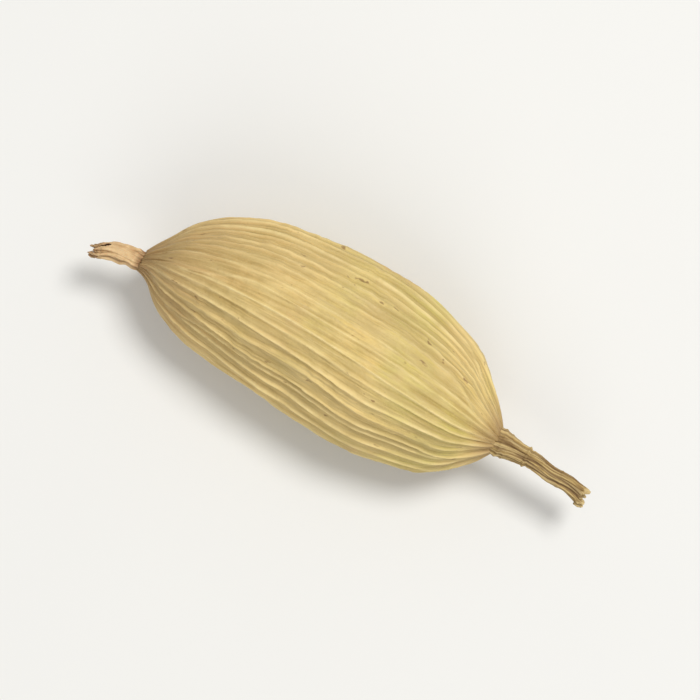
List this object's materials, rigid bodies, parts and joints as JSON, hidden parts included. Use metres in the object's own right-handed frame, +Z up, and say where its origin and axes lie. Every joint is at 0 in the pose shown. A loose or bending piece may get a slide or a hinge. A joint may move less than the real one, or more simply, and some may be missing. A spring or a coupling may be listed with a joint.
{
  "type": "green cardamom pod",
  "caption": "Dried green cardamom pod: a ribbed, rounded three-sided papery husk with a short stalk stub and shrivelled flower remains, lying on one side.",
  "frame": {"origin": "on the surface that the pod lies on, under the middle of its bounding box", "axes": "+X along the pod, from the flower end to the stalk end; +Z up, away from the face that it lies on; +Y to the side that the husk bows towards"},
  "size_m": [0.0206, 0.0068, 0.0059],
  "materials": {
    "husk": "satin",
    "stalk": "matte",
    "dried_flower": "matte"
  },
  "bodies": {
    "root": {"capsule": "husk", "stalk_stub": "stalk", "dried_flower_tip": "dried_flower"}
  },
  "joints": []
}
